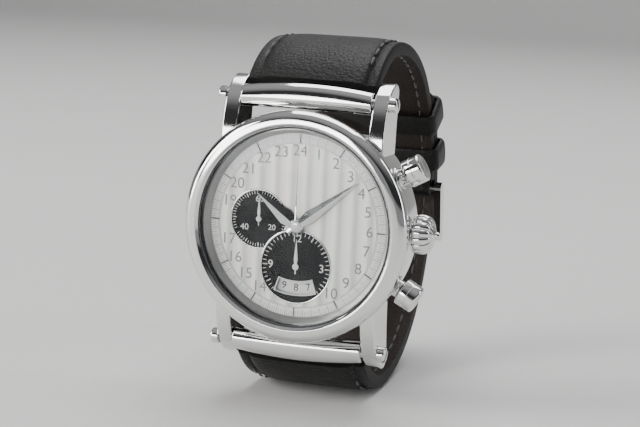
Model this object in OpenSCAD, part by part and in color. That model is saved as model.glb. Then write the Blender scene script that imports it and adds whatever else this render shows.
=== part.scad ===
// Dress chronograph wristwatch on a buckled leather strap.
// The head is drawn dial up (z = 0 on the caseback's outer face) and head() turns it upright:
// the dial faces -Y, 12 o'clock is +Z and the crown is at +X.

/* [Case] */
// Outer diameter of the bezel
bezel_d = 41; // [40.5:0.1:41.5]
// Outer diameter of the mid case
case_d = 39.6; // [39.2:0.1:39.8]
// Clear distance between a pair of lugs
lug_gap = 24.3; // [24.2:0.05:24.4]
// Width of one lug
lug_w = 2.75; // [2.4:0.05:3]
// Distance from the case centre to a lug bar
lug_bar_y = 22; // [21.8:0.1:22.2]
// Height of the lug bars above the caseback face
lug_bar_z = 6.4; // [6.2:0.1:6.6]

/* [Crown and pushers] */
// Height of the crown and pusher axes above the caseback face
crown_z = 5.9; // [5.85:0.05:5.95]
// Crown diameter
crown_d = 7; // [6.4:0.1:7.2]
// Number of flutes round the crown
crown_flutes = 14; // [10:1:18]
// Angle of each pusher from the crown
pusher_angle = 29; // [28:0.5:30]
// Diameter of the pusher caps
pusher_cap_d = 5; // [4.6:0.1:5.2]

/* [Dial] */
// Radius of the dial plate
dial_r = 16.9; // [16.85:0.01:16.95]
// Radius of the small seconds sub-dial
seconds_r = 5.2; // [5:0.05:5.3]
// Radius of the lower counter sub-dial
counter_r = 6.5; // [6.3:0.05:6.6]
// Position of the hour hand, in degrees clockwise from 12
hour_angle = -54; // [-60:1:-50]
// Position of the minute hand, in degrees clockwise from 12
minute_angle = 52; // [45:1:60]

/* [Strap] */
// Strap width at the lugs
strap_w = 24; // [23:0.1:24]
// Strap width at the buckle
strap_end_w = 20; // [18:0.5:21]
// Half height of the closed loop
loop_half_h = 31; // [30.5:0.1:31.5]
// Distance from the caseback face to the far side of the loop
loop_depth = 46; // [45:0.5:47]

/* [Hidden] */
$fn = 96;

bezel_r = bezel_d / 2;
case_r = case_d / 2;
crown_r = crown_d / 2;
lug_in = lug_gap / 2;
lug_out = lug_in + lug_w;
bar_r = 0.9;
running = 0.02;

// Heights in the case, from the caseback's outer face
back_z = 1.2;
case_top_z = 9.9;
cavity_r = 16.6;
dial_z = 9.1;
dial_t = 0.4;
crystal_z = 10.9;
crystal_r = 17.35;
crystal_edge_t = 1.5;
crystal_dome = 0.7;
rehaut_r = 16.3;

// Heights in the movement
bridge_z = 3.3;
bridge_t = 1.1;
plate_z = 6.9;
plate_t = 1.3;
pillar_h = plate_z - bridge_z - bridge_t + 0.1;
movement_r = 14.85;
pivot_r = 0.12;

// Places of the arbors, seen from the dial
barrel_at = [3.74, 4.46];
third_at = [-3.79, 1.48];
fourth_at = [-7.2, 0.6];
escape_at = [-7.84, -3.01];
pallet_at = [-6.1, -5.08];
balance_at = [-4.24, -7.3];
cock_foot = [-7.1, -11.7];
rotor_arms = [95, 215];
crown_wheel_at = [7.2, 0];
minute_wheel_at = [2.6, 0.95];
counter_at = [0, -7.3];

// Strap route: a shoulder arc at the lugs, then a quarter ellipse to the back of the loop
shoulder_y = 10;
shoulder_z = loop_half_h - 19;
shoulder_r = 19;
shoulder_start = 141.5;
loop_a = loop_depth - shoulder_y;
strap_t = 3.4;
strap_end_t = 2.2;
buckle_y = loop_depth;

function polar(r, a) = [r * cos(a), r * sin(a)];
function arc(c, r, a0, a1, n) = [for (i = [0:n]) c + polar(r, a0 + (a1 - a0) * i / n)];
function smooth(x) = x <= 0 ? 0 : x >= 1 ? 1 : x * x * (3 - 2 * x);

module head() {
    rotate([90, 0, 0]) children();
}

// A ring or disc between two heights
module ring(r_out, r_in, z0, z1) {
    translate([0, 0, z0]) linear_extrude(z1 - z0) difference() {
        circle(r_out);
        if (r_in > 0) circle(r_in);
    }
}

module at(place, z = 0) {
    translate([place[0], place[1], z]) children();
}

// A bar along X between two places
module x_rod(x0, x1, r) {
    translate([x0, 0, 0]) rotate([0, 90, 0]) cylinder(h = x1 - x0, r = r);
}

// A bar along the radius of the case at the height of the crown
module radial(angle) {
    translate([0, 0, crown_z]) rotate([0, 0, angle]) children();
}

module both_ends() {
    children();
    mirror([0, 1, 0]) children();
}

module both_sides() {
    children();
    mirror([1, 0, 0]) children();
}

// ---- Case ----

module lug_outline() {
    polygon(concat(
        [[13, 1.6], [17.5, 1.3]],
        arc([23.6, 2.5], 1.9, -110, 20, 10),
        arc([17.5, 0.4], 8.4, 32, 75, 10),
        [[17.5, 9.3], [13, 9.6]]));
}

module case_shape() {
    rotate_extrude() polygon(concat(
        [[cavity_r, back_z], [case_r - 1, back_z]],
        arc([case_r - 0.9, back_z + 0.9], 0.9, -90, 0, 6),
        arc([case_r - 0.5, case_top_z - 0.5], 0.5, 0, 90, 4),
        [[cavity_r, case_top_z]]));
    both_ends() both_sides() translate([lug_in, 0, 0])
        rotate([90, 0, 90]) linear_extrude(lug_w) lug_outline();
}

module mid_case() {
    color("silver") head() difference() {
        case_shape();
        ring(cavity_r, 0, 0, case_top_z + 1);
        ring(17, 0, 9, case_top_z + 1);
        ring(17.65, 0, dial_z + dial_t, case_top_z + 1);
        ring(18.5, 0, 0, 2);
        radial(0) x_rod(15, 21, 1.25);
        radial(pusher_angle) x_rod(15, 21, 1.6);
        radial(-pusher_angle) x_rod(15, 21, 1.6);
        both_ends() translate([0, lug_bar_y, lug_bar_z]) x_rod(-20, 20, bar_r);
        for (a = [30:60:330]) rotate(a) translate([17.6, 0, 1]) cylinder(h = 2.4, r = 0.45);
    }
}

module bezel() {
    color("gainsboro") head() rotate_extrude() polygon(concat(
        [[17.65, case_top_z], [bezel_r - 0.35, case_top_z]],
        arc([bezel_r - 0.35, case_top_z + 0.35], 0.35, -90, 0, 4),
        arc([bezel_r - 2, case_top_z + 0.9], 2, 8, 70, 12),
        arc([18.25, 12.3], 0.3, 70, 160, 4),
        [[17.65, 12.1]]));
}

module crystal() {
    dome_r = (pow(crystal_r, 2) + pow(crystal_dome, 2)) / (2 * crystal_dome);
    top = crystal_z + crystal_edge_t;
    half = asin(crystal_r / dome_r);
    color("lightcyan", 0.3) head() rotate_extrude() polygon(concat(
        [[0, crystal_z], [crystal_r, crystal_z]],
        [for (i = [0:12]) let (a = half * (1 - i / 12))
            [dome_r * sin(a), top + dome_r * cos(a) - dome_r + crystal_dome]]));
}

module crystal_gasket() {
    color("dimgray") head() ring(17.65, crystal_r, crystal_z, 12.1);
}

module rehaut_ring() {
    color("silver") head() rotate_extrude() polygon(
        [[rehaut_r, dial_z + dial_t], [17.6, dial_z + dial_t], [17.6, crystal_z], [17.1, crystal_z]]);
}

module caseback_ring() {
    color("silver") head() difference() {
        rotate_extrude() polygon(concat(
            [[12.6, 0], [18.1, 0]],
            [[18.4, 0.3], [18.4, 2], [16.5, 2], [16.5, 2.2], [15.2, 2.2], [15.2, 1.45],
            [13, 1.45], [13, 0.45], [12.6, 0.45]]));
        for (a = [30:60:330]) rotate(a) translate([17.6, 0, -1]) {
            cylinder(h = 4, r = 0.47);
            cylinder(h = 1.9, r = 0.75);
        }
    }
}

module caseback_crystal() {
    color("lightcyan", 0.3) head() {
        ring(12.58, 0, 0, 0.5);
        ring(12.97, 0, 0.45, 1.3);
    }
}

module caseback_screws() {
    color("gainsboro") head() for (a = [30:60:330]) rotate(a) translate([17.6, 0, 0]) difference() {
        union() {
            translate([0, 0, 0.15]) cylinder(h = 0.75, r = 0.7);
            translate([0, 0, 0.9]) cylinder(h = 2.4, r = 0.44);
        }
        translate([-1, -0.12, 0]) cube([2, 0.24, 0.4]);
    }
}

module movement_ring() {
    color("gray") head() difference() {
        ring(cavity_r, movement_r + 0.02, 2.3, dial_z);
        radial(0) x_rod(14, 18, 0.9);
        radial(pusher_angle) x_rod(14, 18, 1.3);
        radial(-pusher_angle) x_rod(14, 18, 1.3);
    }
}

// ---- Crown and pushers ----

module crown() {
    color("gainsboro") head() radial(0) rotate([0, 90, 0]) difference() {
        rotate_extrude() polygon(concat(
            [[0, 20.9], [1.35, 20.9], [1.35, 20.25], [crown_r - 0.9, 20.25]],
            arc([crown_r - 0.9, 21.15], 0.9, -90, 0, 6),
            arc([crown_r - 1.6, 22.1], 1.6, 5, 62, 8),
            [[1.25, 24], [0.75, 24.35]],
            arc([0, 24.35], 0.65, 0, 90, 5)));
        for (i = [0:crown_flutes - 1]) rotate(360 / crown_flutes * i)
            translate([crown_r + 0.12, 0, 20]) cylinder(h = 3.7, r = 0.42);
        translate([0, 0, 20]) cylinder(h = 2.2, r = 0.45);
    }
}

module crown_tube() {
    color("darkgray") head() radial(0) rotate([0, 90, 0]) ring(1.25, 0.85, 16.7, 20.8);
}

module winding_stem() {
    color("silver") head() radial(0) {
        x_rod(7.7, 22.2, 0.45);
        x_rod(12.2, 13.2, 0.6);
    }
}

module winding_pinion() {
    color("silver") head() radial(0) rotate([0, 90, 0]) translate([0, 0, 8]) linear_extrude(1.6)
        difference() {
            gear_outline(1.5, 16, 0.28);
            circle(0.45 + running);
        }
}

module pusher() {
    rotate([0, 90, 0]) {
        rotate_extrude() polygon(concat(
            [[0, 15.3], [0.8, 15.3], [0.9, 15.4], [0.9, 22.1], [1.75, 22.1], [1.75, 21.2],
            [pusher_cap_d / 2, 21.2]],
            arc([pusher_cap_d / 2 - 0.45, 23.95], 0.45, 0, 90, 5),
            [[0, 24.5]]));
    }
}

module pusher_start() {
    color("gainsboro") head() radial(pusher_angle) pusher();
}

module pusher_reset() {
    color("gainsboro") head() radial(-pusher_angle) pusher();
}

module pusher_tubes() {
    color("darkgray") head() for (side = [-1, 1]) radial(side * pusher_angle)
        rotate([0, 90, 0]) ring(1.6, 0.9 + running, 16.7, 20.9);
}

// A round wire spring about the pusher's stem
module pusher_springs() {
    wire_r = 0.14;
    turns = 3;
    sides = 6;
    rings = 16 * turns;
    length = 0.9;
    points = [for (i = [0:rings]) for (k = [0:sides - 1]) let (
        a = 360 * turns * i / rings,
        r = 1.32 + wire_r * cos(360 / sides * k))
        [r * cos(a), r * sin(a), length * i / rings + wire_r * sin(360 / sides * k)]];
    walls = [for (i = [0:rings - 1]) for (k = [0:sides - 1]) let (n = (k + 1) % sides)
        [i * sides + k, i * sides + n, (i + 1) * sides + n, (i + 1) * sides + k]];
    ends = [[for (k = [sides - 1:-1:0]) k], [for (k = [0:sides - 1]) rings * sides + k]];
    color("silver") head() for (side = [-1, 1]) radial(side * pusher_angle) rotate([0, 90, 0])
        translate([0, 0, 21.05]) polyhedron(points, concat(ends, walls));
}

// ---- Wheels ----

module gear_outline(r, teeth, depth) {
    polygon([for (i = [0:teeth - 1]) for (k = [0:3])
        polar(k == 1 || k == 2 ? r : r - depth, 360 / teeth * (i + [0.02, 0.3, 0.48, 0.76][k]))]);
}

// A spoked wheel between two heights, with its rim and hub radii
module wheel(r, teeth, z0, z1, rim, hub, spokes = 5) {
    translate([0, 0, z0]) linear_extrude(z1 - z0) difference() {
        gear_outline(r, teeth, 0.2);
        difference() {
            circle(rim);
            circle(hub);
            for (i = [0:spokes - 1]) rotate(360 / spokes * i)
                translate([0, -0.2]) square([r - 0.3, 0.4]);
        }
    }
}

module pinion(r, leaves, z0, z1) {
    translate([0, 0, z0]) linear_extrude(z1 - z0) gear_outline(r, leaves, r * 0.35);
}

// An arbor with a thin pivot at each end
module arbor(r, z0, z1, pivot0, pivot1) {
    translate([0, 0, z0]) cylinder(h = z1 - z0, r = r);
    translate([0, 0, pivot0]) cylinder(h = pivot1 - pivot0, r = pivot_r);
}

module centre_wheel() {
    color("gold") head() difference() {
        union() {
            wheel(3.5, 75, 4.75, 5, 2.9, 0.9);
            pinion(0.9, 12, 5.2, 6.6);
            ring(0.35, 0, 4.45, 8.6);
        }
        ring(0.15 + running, 0, 4, 9);
    }
}

module third_wheel() {
    color("gold") head() at(third_at) {
        wheel(3, 72, 6.1, 6.35, 2.5, 0.7);
        pinion(0.55, 10, 4.7, 5.1);
        arbor(0.25, 4.5, 6.8, 3.9, 7.5);
    }
}

module fourth_wheel() {
    color("gold") head() at(fourth_at) {
        wheel(3.2, 84, 5.35, 5.6, 2.7, 0.7);
        pinion(0.5, 9, 6, 6.45);
        arbor(0.25, 4.5, 6.8, 3.9, 9.7);
        ring(0.15, 0, 4.6, 9.6);
    }
}

module escape_wheel() {
    teeth = 20;
    color("silver") head() at(escape_at) {
        translate([0, 0, 5.66]) linear_extrude(0.2) difference() {
            polygon([for (i = [0:teeth - 1]) for (k = [0:2])
                polar(k == 1 ? 2 : 1.62, 360 / teeth * (i + [0.1, 0.42, 0.5][k]))]);
            difference() {
                circle(1.4);
                circle(0.5);
                for (i = [0:3]) rotate(90 * i) translate([0, -0.15]) square([1.6, 0.3]);
            }
        }
        pinion(0.44, 7, 5.28, 5.66);
        arbor(0.2, 4.5, 6.8, 3.9, 7.5);
    }
}

module pallet_fork() {
    to_balance = atan2(balance_at[1] - pallet_at[1], balance_at[0] - pallet_at[0]);
    color("silver") head() at(pallet_at) {
        rotate(to_balance) translate([0, 0, 5.66]) linear_extrude(0.2) {
            translate([0, -0.14]) square([1.75, 0.28]);
            for (s = [-1, 1]) polygon([[1.6, 0.14 * s], [2.15, 0.42 * s], [2.15, 0.24 * s], [1.75, 0]]);
            polygon([[0.25, -0.3], [0.25, 0.3], [-0.15, 1.25], [-0.65, 1.3], [-0.35, 0],
                [-0.65, -1.3], [-0.15, -1.25]]);
        }
        arbor(0.2, 5.5, 6.8, 5.4, 7.5);
    }
}

module balance_wheel() {
    color("gold") head() at(balance_at) {
        ring(4.2, 3.65, 4.75, 5.15);
        for (i = [0:2]) rotate(60 + 120 * i) translate([0, -0.25, 4.8]) cube([3.8, 0.5, 0.25]);
        for (i = [0:7]) rotate(45 * i) translate([3.92, 0, 4.62]) cylinder(h = 0.13, r = 0.16);
        arbor(0.28, 4.5, 6.7, 3.9, 7.5);
        ring(0.7, 0, 5.15, 5.4);
        ring(0.5, 0, 5.4, 5.6);
        at([-0.35, 0.38], 5.6) cylinder(h = 0.25, r = 0.08);
    }
}

// A flat spiral between two radii, drawn as one closed outline
module spiral(r0, r1, turns, width) {
    steps = 24 * turns;
    function radius(i) = r0 + (r1 - r0) * i / steps;
    polygon(concat(
        [for (i = [0:steps]) polar(radius(i) + width / 2, 15 * i)],
        [for (i = [steps:-1:0]) polar(radius(i) - width / 2, 15 * i)]));
}

module hairspring() {
    color("steelblue") head() at(balance_at, 4.46) linear_extrude(0.14) spiral(0.55, 2.6, 7, 0.07);
}

module barrel_drum() {
    color("gold") head() at(barrel_at) difference() {
        union() {
            translate([0, 0, 6]) linear_extrude(0.45) gear_outline(4.9, 84, 0.2);
            ring(4.6, 0, 5.1, 6.6);
        }
        ring(4.35, 0.9, 5.3, 6.4);
        ring(0.5 + running, 0, 5, 7);
    }
}

module mainspring() {
    color("slategray") head() at(barrel_at, 5.35) linear_extrude(1) spiral(1.6, 4.1, 6, 0.16);
}

module ratchet_wheel() {
    color("silver") head() at(barrel_at) {
        translate([0, 0, 2.95]) linear_extrude(0.3) gear_outline(3.3, 48, 0.25);
        ring(0.7, 0, 3.25, 4.5);
        ring(0.5, 0, 4.5, 6.8);
        ring(0.3, 0, 6.8, 7.9);
        ring(0.9, 0, 2.8, 2.95);
    }
}

module crown_wheel() {
    color("silver") head() at(crown_wheel_at) {
        translate([0, 0, 2.95]) linear_extrude(0.3) gear_outline(2.3, 34, 0.25);
        ring(1.9, 1.2, 3.25, 4.15);
        for (i = [0:15]) rotate(22.5 * i) translate([1.25, -0.15, 4.1]) cube([0.55, 0.3, 0.25]);
    }
}

module rotor_web() {
    difference() {
        circle(14.3);
        translate([-15, 0.9]) square([30, 15]);
        for (a = [-125, -90, -55]) rotate(a) translate([6.2, 0]) circle(1.7);
    }
}

// Oscillating weight, with its heavy half towards 6 o'clock
module rotor() {
    color("silver") head() difference() {
        union() {
            translate([0, 0, 1.75]) linear_extrude(0.3) rotor_web();
            intersection() {
                ring(14.3, 11, 1.5, 2.3);
                translate([-15, -15, 0]) cube([30, 15.9, 4]);
            }
            ring(2.2, 0, 1.6, 2.3);
        }
        ring(1.25, 0, 1, 3);
    }
}

module automatic_bridge() {
    color("silver") head() {
        ring(1.23, 0, 1.55, 2.45);
        translate([0, 0, 2.45]) linear_extrude(0.35) difference() {
            union() {
                circle(2.1);
                for (a = rotor_arms) rotate(a) translate([0, -1]) square([13, 2]);
                for (a = rotor_arms) rotate(a) translate([13, 0]) circle(1.3);
            }
            for (a = rotor_arms) rotate(a) translate([13, 0]) circle(0.72);
        }
        for (a = rotor_arms) rotate(a) translate([13, 0, 2.7]) cylinder(h = bridge_z - 2.7, r = 0.9);
    }
}

// ---- Plates and bridges ----

module main_plate() {
    color("silver") head() difference() {
        union() {
            ring(movement_r, 0, plate_z, plate_z + plate_t);
            translate([10.4, -1.5, 5]) cube([4, 3, 2]);
            for (a = [12, 62, 110, 150, 205]) rotate(a) translate([13.1, 0, bridge_z + bridge_t])
                cylinder(h = pillar_h, r = 1);
            at(cock_foot, bridge_z + bridge_t) cylinder(h = pillar_h, r = 0.9);
        }
        at([0, 0], 6) cylinder(h = 4, r = 0.35 + running);
        at(barrel_at, 6) cylinder(h = 4, r = 0.3 + running);
        at(third_at, 6) cylinder(h = 4, r = 0.27);
        at(fourth_at, 6) cylinder(h = 4, r = 0.27);
        at(escape_at, 6) cylinder(h = 4, r = 0.22);
        at(pallet_at, 6) cylinder(h = 4, r = 0.22);
        at(balance_at, 6) cylinder(h = 4, r = 0.3);
        at(minute_wheel_at, 6) cylinder(h = 4, r = 0.3 + running);
        at(counter_at, 6) cylinder(h = 4, r = 0.3 + running);
        radial(0) x_rod(9, 20, 0.45 + running);
        radial(0) x_rod(11.9, 13.5, 0.62 + running);
        radial(0) x_rod(7.8, 9.8, 1.7);
        translate([13.5, 0, crown_z]) rotate([0, 90, 0]) cylinder(h = 3, r = 0.7);
    }
}

module plate_sector(a0, a1) {
    intersection() {
        circle(14.6);
        polygon(concat([[0, 0]], arc([0, 0], 30, a0, a1, 8)));
    }
}

module barrel_bridge() {
    color("silver") head() translate([0, 0, bridge_z]) linear_extrude(bridge_t) difference() {
        plate_sector(-9, 122);
        circle(4.4);
        translate(crown_wheel_at) circle(2.05);
        translate(barrel_at) circle(0.7 + running);
    }
}

module train_bridge() {
    color("silver") head() translate([0, 0, bridge_z]) linear_extrude(bridge_t) difference() {
        union() {
            plate_sector(124, 218);
            circle(3.4);
        }
        polygon([[-4.4, -3.4], [-9, -6.9], [-14, -13], [4, -13], [4, -2.6], [-2, -3]]);
        circle(0.35 + running);
        for (p = [third_at, fourth_at, escape_at]) translate(p) circle(0.6);
    }
}

module balance_cock() {
    reach = atan2(cock_foot[1] - balance_at[1], cock_foot[0] - balance_at[0]);
    color("silver") head() translate([0, 0, bridge_z]) linear_extrude(bridge_t) difference() {
        union() {
            translate(balance_at) circle(1.4);
            translate(balance_at) rotate(reach) translate([0, -0.9]) square([5, 1.8]);
            intersection() {
                translate(cock_foot) circle(1.55);
                circle(14.6);
            }
        }
        translate(balance_at) circle(0.6);
    }
}

module jewels() {
    color("crimson") head() {
        for (p = [third_at, fourth_at, escape_at, balance_at]) at(p)
            ring(0.6, pivot_r + running, bridge_z + 0.1, bridge_z + bridge_t);
        for (p = [third_at, escape_at, pallet_at]) at(p)
            ring(p == third_at ? 0.27 : 0.22, pivot_r + running, 7, 7.6);
    }
}

module screw(z, head_r) {
    difference() {
        translate([0, 0, z - 0.35]) cylinder(h = 0.35, r = head_r);
        translate([-head_r, -0.1, z - 0.4]) cube([2 * head_r, 0.2, 0.2]);
    }
}

module movement_screws() {
    color("royalblue") head() {
        for (a = [12, 62, 150, 205]) rotate(a) translate([13.1, 0, 0]) screw(bridge_z, 0.75);
        at(cock_foot) screw(bridge_z, 0.75);
        for (a = rotor_arms) rotate(a) translate([13, 0, 0]) screw(2.7, 0.7);
    }
}

// ---- Under the dial ----

module cannon_pinion() {
    color("silver") head() difference() {
        union() {
            pinion(0.72, 12, 8.25, 8.55);
            ring(0.6, 0, 8.25, 10.45);
        }
        ring(0.35, 0, 8, 8.6);
        ring(0.15 + running, 0, 8, 11);
    }
}

module minute_wheel() {
    color("gold") head() at(minute_wheel_at) {
        wheel(2, 36, 8.28, 8.5, 1.6, 0.7, 4);
        pinion(0.48, 10, 8.5, 8.82);
        ring(0.3, 0, 7.4, 8.3);
    }
}

module hour_wheel() {
    color("gold") head() difference() {
        union() {
            wheel(2.25, 40, 8.6, 8.8, 1.8, 1.2, 4);
            ring(0.9, 0, 8.6, 10.1);
        }
        ring(0.6 + running, 0, 8, 11);
    }
}

module date_ring() {
    color("white") head() translate([0, 0, 8.55]) linear_extrude(0.25) difference() {
        circle(12.7);
        circle(9.75);
    }
}

module chrono_runner() {
    color("gold") head() {
        wheel(2.4, 60, 2.9, 3.1, 2, 0.6, 5);
        ring(0.15, 0, 3.1, 10.7);
    }
}

// ---- Dial and hands ----

module date_window() {
    intersection() {
        difference() {
            circle(12.3);
            circle(10);
        }
        polygon(concat([[0, 0]], arc([0, 0], 20, -107.5, -72.5, 6)));
    }
}

module dial_plate() {
    color("whitesmoke") head() translate([0, 0, dial_z]) linear_extrude(dial_t) difference() {
        circle(dial_r);
        circle(1);
        translate(fourth_at) circle(seconds_r);
        translate(counter_at) circle(counter_r);
    }
}

module subdial_seconds() {
    color("black") head() translate([0, 0, dial_z]) linear_extrude(dial_t - 0.12) difference() {
        translate(fourth_at) circle(seconds_r);
        translate(counter_at) circle(counter_r);
        translate(fourth_at) circle(0.3);
    }
}

module subdial_counter() {
    color("black") head() translate([0, 0, dial_z]) linear_extrude(dial_t - 0.12) difference() {
        translate(counter_at) circle(counter_r);
        translate(counter_at) circle(0.35);
        circle(1);
        date_window();
    }
}

// A tapered hand pointing to 12, with a hub and a short tail
module hand_outline(length, width, tail, hub, hole) {
    difference() {
        union() {
            circle(hub);
            polygon([[-width * 0.22, -tail], [width * 0.22, -tail], [width * 0.3, 0],
                [width / 2, length * 0.42], [width * 0.1, length], [-width * 0.1, length],
                [-width / 2, length * 0.42], [-width * 0.3, 0]]);
        }
        if (hole > 0) circle(hole);
    }
}

module hour_hand() {
    color("lightgray") head() rotate(-hour_angle) translate([0, 0, 9.95]) linear_extrude(0.15)
        hand_outline(9.2, 2.1, 1.8, 1.3, 0.9);
}

module minute_hand() {
    color("lightgray") head() rotate(-minute_angle) translate([0, 0, 10.3]) linear_extrude(0.15)
        hand_outline(13.6, 1.7, 2, 1.05, 0.6);
}

module chrono_seconds_hand() {
    color("lightgray") head() translate([0, 0, 10.55]) linear_extrude(0.12)
        hand_outline(14.2, 0.34, 4, 0.65, 0.15);
}

module small_seconds_hand() {
    color("white") head() at(fourth_at, 9.6) linear_extrude(0.12)
        hand_outline(4.2, 0.5, 1.2, 0.5, 0.15);
}

module counter_hand() {
    color("white") head() at(counter_at) {
        translate([0, 0, 9.6]) linear_extrude(0.12) hand_outline(5.1, 0.6, 1.3, 0.55, 0);
        ring(0.3, 0, 7.3, 9.6);
        wheel(2, 36, 8.3, 8.48, 1.6, 0.6, 4);
    }
}

// ---- Lug bars and strap ----

module end_link() {
    color("gainsboro") head() difference() {
        translate([-strap_w / 2, 0, 0]) rotate([90, 0, 90]) linear_extrude(strap_w)
            polygon(concat(arc([lug_bar_y, lug_bar_z], 2, 190, -35, 16), [[22.6, 4.4], [20.15, 4.5]]));
        ring(bezel_r + 0.1, 0, 0, 13);
        translate([0, lug_bar_y, lug_bar_z]) x_rod(-20, 20, bar_r);
    }
}

module end_link_12() {
    end_link();
}

module end_link_6() {
    mirror([0, 0, 1]) end_link();
}

module lug_bars() {
    color("silver") head() both_ends() translate([0, lug_bar_y, lug_bar_z]) difference() {
        x_rod(-lug_out, lug_out, bar_r);
        both_sides() x_rod(lug_out - 3, lug_out + 1, 0.5);
    }
}

module lug_screws() {
    color("gainsboro") head() both_ends() both_sides() translate([0, lug_bar_y, lug_bar_z])
        difference() {
            union() {
                x_rod(lug_out - 2.5, lug_out, 0.5);
                translate([lug_out, 0, 0]) rotate([0, 90, 0]) rotate_extrude()
                    polygon([[0, 0], [1.4, 0], [1.4, 1.2], [1.1, 1.6], [0, 1.6]]);
            }
            translate([lug_out + 1.2, -0.2, -2]) cube([1, 0.4, 4]);
        }
}

// Strap route from the lugs (s = 0) to the back of the loop (s = 1), as [y, z]
function route(s) = s < 0.25
    ? [shoulder_y, shoulder_z] + polar(shoulder_r, shoulder_start - (shoulder_start - 90) * s / 0.25)
    : let (a = 90 * (1 - (s - 0.25) / 0.75)) [shoulder_y + loop_a * cos(a), loop_half_h * sin(a)];
function unit(v) = v / norm(v);
function outward(s) = let (d = unit(route(s + 0.002) - route(s - 0.002))) [-d[1], d[0]];
function strap_width(s) = strap_w - (strap_w - strap_end_w) * smooth(s / 0.95);
function strap_thick(s) = strap_t - (strap_t - strap_end_t) * smooth(s / 0.6);

// A band along the route: each station is [[y, z], [outward y, outward z], half width, half thickness]
module band(stations) {
    n = len(stations);
    points = [for (q = stations) for (c = [[-1, -1], [1, -1], [1, 1], [-1, 1]])
        [c[0] * q[2], q[0][0] + c[1] * q[3] * q[1][0], q[0][1] + c[1] * q[3] * q[1][1]]];
    walls = [for (i = [0:n - 2]) for (k = [0:3]) let (m = (k + 1) % 4)
        [i * 4 + k, (i + 1) * 4 + k, (i + 1) * 4 + m, i * 4 + m]];
    ends = [[0, 1, 2, 3], [for (k = [3:-1:0]) (n - 1) * 4 + k]];
    polyhedron(points, concat(ends, walls));
}

module strap_upper() {
    last = 0.965;
    color("black") band([for (i = [0:32]) let (s = last * i / 32)
        [route(s), outward(s), strap_width(s) / 2, strap_thick(s) / 2]]);
}

// Outward shift of the long half where it climbs over the short half
function climb(u) = 2.5 * smooth((u - 0.84) / 0.13);
function flip(p) = [p[0], -p[1]];
function long_point(u) = u <= 1 ? flip(route(u)) : route(2 - u);
function long_out(u) = u <= 1 ? flip(outward(min(u, 0.998))) : outward(2 - max(u, 1.002));
function long_centre(u) = long_point(u) + climb(u) * long_out(u);

module strap_lower() {
    last = 1.34;
    stations = 48;
    color("black") difference() {
        band([for (i = [0:stations]) let (
            u = last * i / stations,
            tip = u > 1.3 ? 1 - pow((u - 1.3) / 0.05, 2) * 0.6 : 1)
            [long_centre(u), -long_out(u), tip * strap_width(min(u, 1)) / 2,
                strap_thick(min(u, 1)) / 2]]);
        translate([-1.2, buckle_y - 1, -5]) cube([2.4, 6, 6.8]);
    }
}

// Buckle: the bar lies in the end of the short half, the front bar lies outside the long half
bar_place = [buckle_y, 0.7];
front_place = [buckle_y + 1.35, -9.1];
buckle_in = strap_end_w / 2 + 0.45;
buckle_out = buckle_in + 1.4;

module yz(place) {
    translate([0, place[0], place[1]]) children();
}

module buckle_arm() {
    d = unit(front_place - bar_place);
    across = [-d[1], d[0]];
    rotate([90, 0, 90]) linear_extrude(buckle_out - buckle_in) difference() {
        union() {
            translate(bar_place) circle(1.35);
            translate(front_place) circle(1.1);
            polygon([bar_place + 1.35 * across, bar_place - 1.35 * across,
                front_place - 1.1 * across, front_place + 1.1 * across]);
        }
        translate(bar_place) circle(0.75 + running);
    }
}

module buckle_frame() {
    color("gainsboro") {
        both_sides() translate([buckle_in, 0, 0]) buckle_arm();
        yz(front_place) x_rod(-buckle_in, buckle_in, 0.9);
    }
}

// A line of even width through the points, with round corners
module stroke(points, width) {
    for (p = points) translate(p) circle(width / 2);
    for (i = [1:len(points) - 1]) let (d = points[i] - points[i - 1])
        translate(points[i - 1]) rotate(atan2(d[1], d[0])) translate([0, -width / 2])
            square([norm(d), width]);
}

module buckle_tongue() {
    path = [[1, -0.6], [1.6, -1.9], [3.35, -3.9], [3.35, -10.6]];
    color("gainsboro") translate([-0.8, 0, 0]) rotate([90, 0, 90]) linear_extrude(1.6) difference() {
        union() {
            translate(bar_place) circle(1.3);
            stroke([for (p = path) bar_place + p], 1.2);
        }
        translate(bar_place) circle(0.75 + running);
    }
}

module buckle_bar() {
    color("silver") yz(bar_place) x_rod(-buckle_out, buckle_out, 0.75);
}

// A flat loop round both halves of the strap at one place on the route
module keeper(s, clearance) {
    inner = strap_end_t / 2 + clearance;
    outer = 2.5 + strap_end_t / 2 + clearance;
    half_w = strap_end_w / 2 + 0.5;
    n = outward(s);
    color("black") yz(route(s)) rotate([atan2(n[1], n[0]), 0, 0]) difference() {
        translate([-half_w - 0.9, -inner - 0.9, -2.5]) cube([2 * half_w + 1.8, inner + outer + 1.8, 5]);
        translate([-half_w, -inner, -3]) cube([2 * half_w, inner + outer, 6]);
    }
}

module fixed_keeper() {
    keeper(0.89, 0.3);
}

module floating_keeper() {
    keeper(0.76, 0.55);
}

mid_case();
bezel();
crystal();
crystal_gasket();
rehaut_ring();
caseback_ring();
caseback_crystal();
caseback_screws();
movement_ring();
crown();
crown_tube();
winding_stem();
winding_pinion();
pusher_start();
pusher_reset();
pusher_tubes();
pusher_springs();
rotor();
automatic_bridge();
crown_wheel();
ratchet_wheel();
barrel_drum();
mainspring();
centre_wheel();
third_wheel();
fourth_wheel();
escape_wheel();
pallet_fork();
balance_wheel();
hairspring();
main_plate();
barrel_bridge();
train_bridge();
balance_cock();
jewels();
movement_screws();
cannon_pinion();
minute_wheel();
hour_wheel();
date_ring();
chrono_runner();
chrono_seconds_hand();
counter_hand();
dial_plate();
subdial_seconds();
subdial_counter();
hour_hand();
minute_hand();
small_seconds_hand();
end_link_12();
end_link_6();
lug_bars();
lug_screws();
strap_upper();
strap_lower();
fixed_keeper();
floating_keeper();
buckle_frame();
buckle_tongue();
buckle_bar();
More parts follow.
